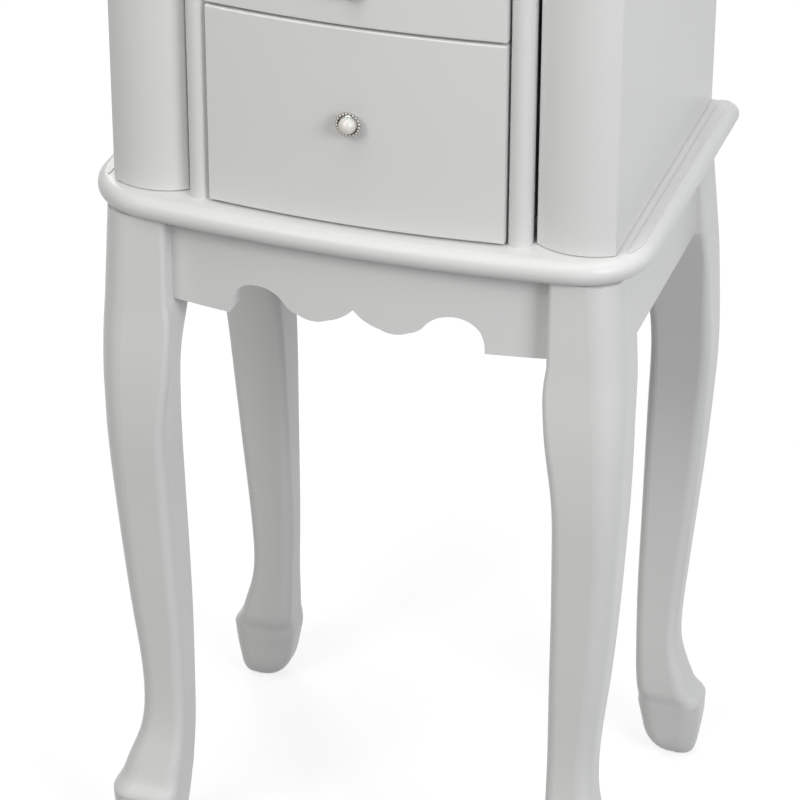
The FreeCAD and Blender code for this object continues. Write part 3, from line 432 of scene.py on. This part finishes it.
@dataclass(frozen=True)
class MattFloor(Finish):
    """Matt studio floor: pale to the eye, and it keeps the cabinet's shadow."""

    lift: float = 0.76

    def shader(self, tree: bpy.types.NodeTree) -> bpy.types.Node:
        """Adds the shader: a grey floor lifted to white for the rays that see it.

        Args:
            tree: the material's tree.

        Returns:
            The shader node.
        """
        lifted = add_node(tree, "ShaderNodeMath", {0: background_rays(tree), 1: self.lift}, operation="MULTIPLY")
        return add_node(
            tree, "ShaderNodeBsdfPrincipled",
            {"Base Color": linear(self.colour), "Roughness": 0.9, "Specular IOR Level": 0.1,
             "Emission Color": (1.0, 1.0, 1.0, 1.0), "Emission Strength": lifted.outputs["Value"]})


class Finishes:
    """Every finish of the cabinet, made once."""

    INNER_NODES = ("carcass_walls", "drawer_runners", "tray_floor", "corner_blocks")
    # thickness of the strip that carries the hooks, and a tenth of a millimetre over it
    HOOKS_FROM_PANEL = 0.0031

    def __init__(self) -> None:
        """Makes the materials."""
        self.white = SprayedLacquer("white_lacquer", "#E4E4E3").material()
        self.inner = SprayedLacquer("white_lacquer_inner", "#E2E2E0", (1.0, 6.0, 1.0)).material()
        # the silver's colour is set darker than the bright plate: painted shade for the gaps round the beads and
        # cup, and a painted dimmer reflection
        self.silver = WorkedMetal("silver_plate_painted_shade", "#A29F9B", 0.24).material()
        self.nickel = WorkedMetal("satin_nickel_plate", "#DAD8D4", 0.30, (1.0, 1.0, 12.0)).material()
        self.zinc = WorkedMetal("zinc_plated_steel", "#CED0D3", 0.38).material()
        self.velvet = CutVelvet("ivory_cut_velvet", "#DFDDD8").material()
        self.felt = CutVelvet("white_pressed_felt", "#DADAD7").material()
        self.pearl = ImitationPearl("imitation_pearl", "#E7E5DE", "#DFDFD8").material()
        self.plastic = MouldedPlastic("moulded_white_abs", "#E5E5E2").material()
        self.mirror = SilveredGlass("silvered_glass", "#F3F6F6").material()
        strip = abs(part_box("door_right_panel")[0][0]) - self.HOOKS_FROM_PANEL
        self.rack = HookRackPaint(
            "lacquered_rack_silver_hooks", "#E4E4E3", strip_from_middle=strip).material()

    def of_node(self, node: str) -> bpy.types.Material:
        """Chooses the finish of one of the frame's nodes.

        Args:
            node: name of the node.

        Returns:
            Its material.
        """
        by_name = {"leg_bolts": self.zinc, "lid_mirror": self.mirror, "door_magnets": self.plastic,
                   "tray_dividers": self.velvet, "ring_rolls": self.velvet, "foot_glides": self.felt}
        by_ending = {"_box": self.inner, "_blocks": self.inner, "_knob": self.silver, "_pearl": self.pearl,
                     "_rack": self.rack, "_hardware": self.nickel}
        if node in self.INNER_NODES:
            return self.inner
        for ending, look in by_ending.items():
            if node.endswith(ending):
                return look
        if "hinge" in node:
            return self.nickel
        return by_name.get(node, self.white)

    def dress(self, nodes: dict) -> None:
        """Gives each of the frame's nodes its finish.

        Args:
            nodes: the frame's nodes by name.
        """
        for name, item in nodes.items():
            item.data.materials.clear()
            item.data.materials.append(self.of_node(name))


# ---------------------------------------------------------------- bench work
def enter_edit(item: bpy.types.Object) -> None:
    """Opens one piece in edit mode with all of it selected.

    Args:
        item: the piece.
    """
    bpy.ops.object.select_all(action="DESELECT")
    item.select_set(True)
    bpy.context.view_layer.objects.active = item
    bpy.ops.object.mode_set(mode="EDIT")
    bpy.ops.mesh.select_all(action="SELECT")


def leave_edit() -> None:
    """Turns all faces outwards and closes edit mode."""
    bpy.ops.mesh.select_all(action="SELECT")
    bpy.ops.mesh.remove_doubles(threshold=1e-7)
    bpy.ops.mesh.normals_make_consistent(inside=False)
    bpy.ops.object.mode_set(mode="OBJECT")


def move_point(item: bpy.types.Object, spot: Vector, shift: Vector) -> None:
    """Moves the one point of a piece in edit mode that lies at a spot.

    Args:
        item: the piece.
        spot: where the point is.
        shift: how far it moves.
    """
    bpy.ops.mesh.select_all(action="DESELECT")
    mesh = bmesh.from_edit_mesh(item.data)
    for point in mesh.verts:
        point.select = (point.co - spot).length < NEAR_AXIS
    bmesh.update_edit_mesh(item.data)
    bpy.ops.transform.translate(value=shift)


def turn_on_lathe(outline: Outline, place: Vector, axis: Vector, count: int) -> bpy.types.Object:
    """Makes a turned part: a disc, extruded and resized row by row, with its poles drawn out.

    Args:
        outline: radius and height of each row, with a pole first and last.
        place: where the height is 0.
        axis: unit vector along which the height grows.
        count: points round each row.

    Returns:
        The part, with its place in its mesh.
    """
    radius, height = outline[1]
    bpy.ops.object.select_all(action="DESELECT")
    bpy.ops.mesh.primitive_circle_add(
        vertices=count, radius=radius, fill_type="TRIFAN", location=place + axis * height,
        rotation=UPWARD.rotation_difference(axis).to_euler())
    item = bpy.context.object
    bpy.ops.object.transform_apply(location=True, rotation=True, scale=True)
    enter_edit(item)
    for next_radius, next_height in outline[2:-1]:
        bpy.ops.mesh.extrude_region_move(TRANSFORM_OT_translate={"value": axis * (next_height - height)})
        size = next_radius / radius
        bpy.ops.transform.resize(value=(size, size, size), center_override=place + axis * next_height)
        radius, height = next_radius, next_height
    for pole, row in ((outline[0], outline[1]), (outline[-1], outline[-2])):
        if abs(pole[1] - row[1]) > 1e-9:
            move_point(item, place + axis * row[1], axis * (pole[1] - row[1]))
    leave_edit()
    return item


def repeat_at(item: bpy.types.Object, shifts: Sequence[Vector]) -> None:
    """Copies all of a piece's mesh to further places.

    Args:
        item: the piece as first modelled.
        shifts: each further place, counted from the first.
    """
    enter_edit(item)
    last = Vector((0.0, 0.0, 0.0))
    for shift in shifts:
        bpy.ops.mesh.duplicate_move(TRANSFORM_OT_translate={"value": shift - last})
        last = shift
    leave_edit()


def join(parts: Sequence[bpy.types.Object]) -> bpy.types.Object:
    """Joins parts to one piece.

    Args:
        parts: the parts; the first takes the others in.

    Returns:
        The piece.
    """
    bpy.ops.object.select_all(action="DESELECT")
    for part in parts:
        part.select_set(True)
    bpy.context.view_layer.objects.active = parts[0]
    bpy.ops.object.join()
    return bpy.context.object


def hand_over(item: bpy.types.Object, name: str, look: bpy.types.Material, body: str,
              crease: float) -> None:
    """Names, smooths and dresses a finished piece and lets it ride on its body.

    Args:
        item: the piece.
        name: its name.
        look: its material.
        body: the body it rides on.
        crease: angle in degrees above which an edge stays sharp.
    """
    item.name = name
    item.data.name = name
    bpy.ops.object.select_all(action="DESELECT")
    item.select_set(True)
    bpy.context.view_layer.objects.active = item
    bpy.ops.object.shade_smooth_by_angle(angle=math.radians(crease))
    item.data.materials.append(look)
    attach(item, body)
    LOG.info("%s: %d faces on %s", name, len(item.data.polygons), body)


# ---------------------------------------------------------------- knobs
@dataclass
class BeadedKnobs:
    """Silver cups with a ring of beads round the pearl, and the screw behind each; one set is all alike."""

    bodies: Sequence[str]
    beads: int = 20
    bead_radius: float = 0.00128
    bead_ring: float = 0.0082
    bead_height: float = 0.0016
    cup_behind_node: float = 0.0007
    cup_face: float = 0.0023
    shank_radius: float = 0.0020
    head_radius: float = 0.0042
    head_thick: float = 0.0022
    crease: float = 50.0
    cup_outline: Outline = (
        (0, 0.0001), (0.0071, 0.0001), (0.0077, 0.0004), (0.0079, 0.0009), (0.0076, 0.0012),
        (0.0064, 0.0015), (0.0056, 0.0024), (0.0045, 0.0020), (0.0025, 0.0016), (0, 0.0015),
    )

    def cup(self, place: Vector) -> bpy.types.Object:
        """Turns the cup that holds the pearl.

        Args:
            place: middle of the cup's back.

        Returns:
            The cup.
        """
        return turn_on_lathe(self.cup_outline, place, FRONTWARD, 64)

    def bead_row(self, place: Vector) -> bpy.types.Object:
        """Models one bead and spins its copies round the cup.

        Args:
            place: middle of the cup's back.

        Returns:
            The ring of beads.
        """
        step = 2 * math.pi / self.beads
        centre = place + FRONTWARD * self.bead_height
        spot = centre + Vector((math.cos(step / 2), 0.0, math.sin(step / 2))) * self.bead_ring
        bpy.ops.object.select_all(action="DESELECT")
        bpy.ops.mesh.primitive_uv_sphere_add(segments=16, ring_count=12, radius=self.bead_radius, location=spot)
        item = bpy.context.object
        bpy.ops.object.transform_apply(location=True, rotation=True, scale=True)
        enter_edit(item)
        bpy.ops.mesh.spin(
            steps=self.beads - 1, dupli=True, angle=step * (self.beads - 1), center=centre, axis=FRONTWARD)
        leave_edit()
        return item

    def screw(self, place: Vector, pearl_depth: float, head_depth: float) -> bpy.types.Object:
        """Turns the screw from inside the pearl to its rounded head behind the front.

        Args:
            place: middle of the cup's back.
            pearl_depth: from the cup's back to the middle of the pearl.
            head_depth: from the cup's back to the end of the head, backwards.

        Returns:
            The screw.
        """
        shank, head, thick = self.shank_radius, self.head_radius, self.head_thick
        outline = [
            (0, pearl_depth), (shank - 0.0001, pearl_depth), (shank, 0.0), (shank, thick - head_depth),
            (head - 0.0002, thick - 0.0001 - head_depth), (head, thick - 0.0006 - head_depth),
            (head - 0.0002, 0.0006 - head_depth), (head - 0.0012, -head_depth), (0, -head_depth),
        ]
        return turn_on_lathe(outline, place, FRONTWARD, 32)

    def build(self, looks: Finishes) -> None:
        """Models the first knob, copies it to the other bodies and dresses them all.

        Args:
            looks: the finishes.
        """
        boxes = [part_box(f"{body}_knob") for body in self.bodies]
        low, high = boxes[0]
        pearl_low, pearl_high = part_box(f"{self.bodies[0]}_pearl")
        back = low[1] + self.cup_behind_node + self.cup_face
        place = Vector(((low[0] + high[0]) / 2, back, (low[2] + high[2]) / 2))
        pearl_depth = back - (pearl_low[1] + pearl_high[1]) / 2
        first = join([self.cup(place), self.bead_row(place), self.screw(place, pearl_depth, high[1] - back)])
        knobs = [first]
        for box in boxes[1:]:
            copy = first.copy()
            copy.data = first.data.copy()
            bpy.context.collection.objects.link(copy)
            shift = Vector(box[0]) - Vector(low) + Vector(box[1]) - Vector(high)
            copy.data.transform(Matrix.Translation(shift / 2))
            knobs.append(copy)
        for knob, body in zip(knobs, self.bodies):
            hand_over(knob, f"{body}_beaded_knob", looks.silver, body, self.crease)
            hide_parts(f"{body}_knob")


# ---------------------------------------------------------------- velvet
@dataclass
class VelvetBoard:
    """Thin board covered in velvet, with its edges rolled over."""

    name: str
    low: tuple[float, float, float]
    high: tuple[float, float, float]
    body: str
    edge: float = 0.0005
    crease: float = 60.0

    def build(self, looks: Finishes) -> None:
        """Cuts the board to size and rounds its edges.

        Args:
            looks: the finishes.
        """
        size = [b - a for a, b in zip(self.low, self.high)]
        middle = [(a + b) / 2 for a, b in zip(self.low, self.high)]
        bpy.ops.object.select_all(action="DESELECT")
        bpy.ops.mesh.primitive_cube_add(size=1, location=middle, scale=size)
        item = bpy.context.object
        bpy.ops.object.transform_apply(location=True, rotation=True, scale=True)
        enter_edit(item)
        bpy.ops.mesh.bevel(offset=min(self.edge, min(size) * 0.45), segments=3, profile=0.6, affect="EDGES")
        leave_edit()
        hand_over(item, self.name, looks.velvet, self.body, self.crease)


@dataclass
class DrawerLining:
    """Velvet on a drawer's floor and on three of its inner faces."""

    body: str
    wall: float = 0.008
    floor: float = 0.005
    cloth: float = 0.0012
    floor_cloth: float = 0.0020
    gap: float = 0.00005
    below_rim: float = 0.003
    behind_front: float = 0.0026
    floor_edge: float = 0.0012

    def build(self, looks: Finishes) -> None:
        """Lines the drawer.

        Args:
            looks: the finishes.
        """
        low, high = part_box(f"{self.body}_box")
        left, right = low[0] + self.wall, high[0] - self.wall
        front, back = low[1] + self.wall + self.behind_front, high[1] - self.wall
        bottom, top = low[2] + self.floor, high[2] - self.below_rim
        side_low, gap, cloth = bottom + self.floor_cloth + 0.0001, self.gap, self.cloth
        name = f"{self.body}_lining"
        VelvetBoard(
            f"{name}_floor", (left + gap, front, bottom + gap), (right - gap, back - gap, bottom + self.floor_cloth),
            self.body, self.floor_edge).build(looks)
        VelvetBoard(
            f"{name}_left", (left + gap, front, side_low), (left + cloth, back - gap, top), self.body).build(looks)
        VelvetBoard(
            f"{name}_right", (right - cloth, front, side_low), (right - gap, back - gap, top),
            self.body).build(looks)
        VelvetBoard(
            f"{name}_back", (left + cloth, back - cloth, side_low), (right - cloth, back - gap, top),
            self.body).build(looks)


@dataclass
class NecklaceBayLining:
    """Velvet on the inner wall behind a side door, and on the door's panel below its hooks."""

    side: Side
    cloth: float = 0.0012
    gap: float = 0.00005
    margin: float = 0.004
    bay_front: float = 0.034
    door_front: float = 0.048
    at_back: float = 0.002
    under_rack: float = 0.001

    def build(self, looks: Finishes) -> None:
        """Lines the bay and its door.

        Args:
            looks: the finishes.
        """
        sign, word = self.side.value, self.side.word
        walls, back_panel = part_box("carcass_walls"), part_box("back_panel")
        outer = sign * walls[1][0]
        left, right = sorted((outer + sign * self.gap, outer + sign * self.cloth))
        VelvetBoard(
            f"bay_lining_{word}", (left, walls[0][1] + self.bay_front, walls[0][2] + self.margin),
            (right, walls[1][1] - self.at_back, walls[1][2] - self.margin), "cabinet").build(looks)
        panel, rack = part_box(f"door_{word}_panel"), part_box(f"door_{word}_rack")
        inner = panel[0][0] if sign > 0 else panel[1][0]
        left, right = sorted((inner - sign * self.gap, inner - sign * self.cloth))
        VelvetBoard(
            f"door_{word}_lining", (left, panel[0][1] + self.door_front, panel[0][2] + self.margin),
            (right, back_panel[0][1] - self.at_back, rack[0][2] - self.under_rack), f"door_{word}").build(looks)


@dataclass
class RingRolls:
    """Velvet rolls that rings are pushed between: softly uneven, with tucked ends."""

    rolls: int = 8
    rows: int = 40
    end: float = 0.003
    swell: float = 0.015
    crease: float = 60.0
    count: int = 32

    def outline(self, radius: float, length: float, number: int) -> Outline:
        """Works out the outline of one roll.

        Args:
            radius: the roll's radius.
            length: the roll's length.
            number: which roll it is.

        Returns:
            Radius and height of each row.
        """
        rows = [(0.0, 0.0015), (radius * 0.35, 0.0008), (radius * 0.72, 0.0002), (radius * 0.93, 0.0012)]
        for row in range(self.rows + 1):
            along = self.end + (length - 2 * self.end) * row / self.rows
            uneven = math.sin(row * 1.7 + number) * math.sin(row * 0.6 + 2 * number)
            rows.append((radius * (1 - self.swell + self.swell * uneven), along))
        return rows + [
            (radius * 0.93, length - 0.0012), (radius * 0.72, length - 0.0002),
            (radius * 0.35, length - 0.0008), (0.0, length - 0.0015),
        ]

    def build(self, looks: Finishes) -> None:
        """Models the rolls side by side in the tray.

        Args:
            looks: the finishes.
        """
        low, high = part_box("ring_rolls")
        radius = (high[2] - low[2]) / 2
        pitch = (high[1] - low[1] - 2 * radius) / (self.rolls - 1)
        parts = []
        for number in range(self.rolls):
            place = Vector((low[0], high[1] - radius - number * pitch, low[2] + radius))
            outline = self.outline(radius, high[0] - low[0], number)
            parts.append(turn_on_lathe(outline, place, RIGHTWARD, self.count))
        rolls = join(parts)
        hand_over(rolls, "velvet_ring_rolls", looks.velvet, "cabinet", self.crease)
        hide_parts("ring_rolls")


# ---------------------------------------------------------------- small fixings
@dataclass
class FeltGlides:
    """Felt discs under the feet, with a soft edge."""

    count: int = 40
    crease: float = 50.0
    outline: Outline = (
        (0, 0), (0.0072, 0), (0.0078, 0.0003), (0.0080, 0.0010), (0.0078, 0.0017), (0.0072, 0.0020), (0, 0.0020),
    )

    def centres(self, node: bpy.types.Object) -> list[Vector]:
        """Finds the middle of the underside of each glide in the frame's node.

        Args:
            node: the node that holds the four glides.

        Returns:
            The four middles.
        """
        points = [vertex.co for vertex in node.data.vertices]
        middles = []
        for right in (False, True):
            for back in (False, True):
                own = [p for p in points if (p.x > 0) == right and (p.y > 0) == back]
                xs, ys, zs = ([p[axis] for p in own] for axis in range(3))
                middles.append(Vector(((min(xs) + max(xs)) / 2, (min(ys) + max(ys)) / 2, min(zs))))
        return middles

    def build(self, looks: Finishes, node: bpy.types.Object) -> None:
        """Models one glide and copies it under the other feet.

        Args:
            looks: the finishes.
            node: the frame's glides.
        """
        middles = self.centres(node)
        felt = turn_on_lathe(self.outline, middles[0], UPWARD, self.count)
        repeat_at(felt, [middle - middles[0] for middle in middles[1:]])
        hand_over(felt, "felt_glides", looks.felt, "cabinet", self.crease)
        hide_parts("foot_glides")


@dataclass
class HingeScrews:
    """Raised-head screws in the hinge leaves at the back."""

    leaf_thick: float = 0.0012
    from_door_end: float = 0.06
    spread: float = 0.013
    lid_hinge_from_middle: float = 0.110
    wall_leaf_in: float = 0.0119
    door_leaf_out: float = 0.0045
    frieze_leaf_down: float = 0.0115
    lid_leaf_up: float = 0.0048
    wide_head: float = 0.0021
    small_head: float = 0.0018
    count: int = 24
    crease: float = 40.0

    def heads(self, name: str, body: str, spots: Sequence[tuple[float, float, float]], radius: float,
              looks: Finishes) -> None:
        """Turns one head and copies it to its other places.

        Args:
            name: name of the piece.
            body: the body it rides on.
            spots: middle of each head on the leaf.
            radius: radius of a head.
            looks: the finishes.
        """
        outline = [
            (0, -0.0003), (radius, -0.0003), (radius, 0.0001), (radius * 0.75, 0.0005),
            (radius * 0.34, 0.00055), (radius * 0.28, 0.00025), (0, 0.00025),
        ]
        first = Vector(spots[0])
        screws = turn_on_lathe(outline, first, BACKWARD, self.count)
        repeat_at(screws, [Vector(spot) - first for spot in spots[1:]])
        hand_over(screws, name, looks.zinc, body, self.crease)

    def build(self, looks: Finishes) -> None:
        """Screws the hinges of the doors and the lid.

        Args:
            looks: the finishes.
        """
        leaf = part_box("back_panel")[1][1] + self.leaf_thick
        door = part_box("door_right_panel")
        levels = (door[0][2] + self.from_door_end, door[1][2] - self.from_door_end)
        pair, three = (-self.spread, self.spread), (-self.spread, 0.0, self.spread)
        beside = door[0][0] - self.wall_leaf_in
        still = [(side.value * beside, leaf, level + rise) for level in levels for side in Side for rise in pair]
        self.heads("door_hinge_screws", "cabinet", still, self.wide_head, looks)
        for side in Side:
            out = side.value * (door[0][0] + self.door_leaf_out)
            moving = [(out, leaf, level + rise) for level in levels for rise in three]
            body = f"door_{side.word}"
            self.heads(f"{body}_hinge_screws", body, moving, self.small_head, looks)
        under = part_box("frieze_back")[1][2] - self.frieze_leaf_down
        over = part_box("lid_board")[0][2] + self.lid_leaf_up
        hinge = self.lid_hinge_from_middle
        fixed = [(side.value * hinge + shift, leaf, under) for side in Side for shift in pair]
        moving = [(side.value * hinge + shift, leaf, over) for side in Side for shift in three]
        self.heads("lid_hinge_fixed_screws", "cabinet", fixed, self.wide_head, looks)
        self.heads("lid_hinge_screws", "lid", moving, self.small_head, looks)


# ---------------------------------------------------------------- floor, light, camera
@dataclass(frozen=True)
class SoftLamp:
    """Large soft light aimed at the cabinet."""

    name: str
    spot: tuple[float, float, float]
    size: tuple[float, float]
    power: float
    colour: str = "#FFFFFF"
    aim: tuple[float, float, float] = (0.0, 0.0, 0.6)

    def build(self) -> None:
        """Sets the lamp up."""
        data = bpy.data.lights.new(self.name, "AREA")
        data.shape = "RECTANGLE"
        data.size, data.size_y = self.size
        data.energy = self.power
        data.color = linear(self.colour)[:3]
        item = bpy.data.objects.new(self.name, data)
        item.location = self.spot
        item.rotation_euler = (Vector(self.aim) - Vector(self.spot)).to_track_quat("-Z", "Y").to_euler()
        bpy.context.scene.collection.objects.link(item)


@dataclass
class Studio:
    """Plain pale floor, even world light and soft lamps."""

    floor_size: float = 14.0
    world_strength: float = 0.17
    world_colour: str = "#FCFFFF"
    lamps: tuple[SoftLamp, ...] = (
        SoftLamp("overhead", (0.5, 0.0, 2.9), (1.6, 1.6), 16),
        SoftLamp("right_front", (2.5, -1.7, 2.0), (1.3, 1.3), 47, "#FCFDFF"),
        SoftLamp("right", (3.0, 0.3, 2.2), (1.4, 1.4), 8, "#FCFDFF"),
        SoftLamp("front", (-0.9, -2.4, 2.6), (1.5, 1.2), 33, "#FFFEFA", (0.0, 0.0, 0.7)),
        SoftLamp("high_front", (-0.3, -1.3, 3.4), (1.3, 1.0), 13, "#FFFEFC"),
        SoftLamp("behind", (-1.8, 2.4, 2.2), (1.4, 1.4), 26),
    )

    def lay_floor(self) -> None:
        """Lays the floor."""
        bpy.ops.object.select_all(action="DESELECT")
        bpy.ops.mesh.primitive_plane_add(size=self.floor_size)
        item = bpy.context.object
        enter_edit(item)
        bpy.ops.mesh.subdivide(number_cuts=1)
        bpy.ops.object.mode_set(mode="OBJECT")
        item.name = "floor"
        item.data.name = "floor"
        item.data.materials.append(MattFloor("matt_floor", "#9E9E9E").material())

    def light_world(self) -> None:
        """Lights the world evenly, white where the camera or a reflection looks past the floor."""
        sky = bpy.data.worlds.new("studio")
        bpy.context.scene.world = sky
        sky.use_nodes = True
        tree = sky.node_tree
        tree.nodes.clear()
        strength = add_node(
            tree, "ShaderNodeMapRange",
            {"Value": background_rays(tree), "To Min": self.world_strength, "To Max": 1.0})
        back = add_node(
            tree, "ShaderNodeBackground",
            {"Color": linear(self.world_colour), "Strength": strength.outputs["Result"]})
        add_node(tree, "ShaderNodeOutputWorld", {"Surface": back.outputs["Background"]})

    def build(self) -> None:
        """Sets up floor, world and lamps."""
        self.lay_floor()
        self.light_world()
        for lamp in self.lamps:
            lamp.build()
        LOG.info("studio: %d lamps", len(self.lamps))


@dataclass
class Viewpoint:
    """The photograph's viewpoint."""

    spot: tuple[float, float, float] = (0.7789, -2.3784, 1.8190)
    azimuth: float = 18.427
    elevation: float = 29.907
    roll: float = 0.144
    focal_pixels: float = 3759.66
    picture_pixels: int = 800
    sensor: float = 36.0
    far: float = 50.0

    def build(self) -> None:
        """Sets the camera up and makes it the scene's."""
        azimuth, elevation, roll = (math.radians(a) for a in (self.azimuth, self.elevation, self.roll))
        level = math.cos(elevation)
        back = Vector((math.sin(azimuth) * level, -math.cos(azimuth) * level, math.sin(elevation)))
        right = Vector((math.cos(azimuth), math.sin(azimuth), 0))
        up = back.cross(right)
        across = right * math.cos(roll) + up * math.sin(roll)
        above = up * math.cos(roll) - right * math.sin(roll)
        data = bpy.data.cameras.new("camera")
        data.sensor_width = self.sensor
        data.lens = self.focal_pixels * self.sensor / self.picture_pixels
        data.clip_end = self.far
        item = bpy.data.objects.new("camera", data)
        item.matrix_world = Matrix.Translation(self.spot) @ Matrix((across, above, back)).transposed().to_4x4()
        bpy.context.scene.collection.objects.link(item)
        bpy.context.scene.camera = item


def main() -> None:
    """Builds everything in order."""
    logging.basicConfig(level=logging.INFO)
    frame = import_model()
    looks = Finishes()
    looks.dress(frame["nodes"])
    drawers = [f"drawer_{number}" for number in range(1, 5)]
    BeadedKnobs([f"door_{side.word}" for side in Side]).build(looks)
    BeadedKnobs(drawers).build(looks)
    for drawer in drawers:
        DrawerLining(drawer).build(looks)
    for side in Side:
        NecklaceBayLining(side).build(looks)
    RingRolls().build(looks)
    FeltGlides().build(looks, frame["nodes"]["foot_glides"])
    HingeScrews().build(looks)
    Studio().build()
    Viewpoint().build()
    bpy.context.scene.view_settings.view_transform = "Standard"


if __name__ == "__main__":
    main()
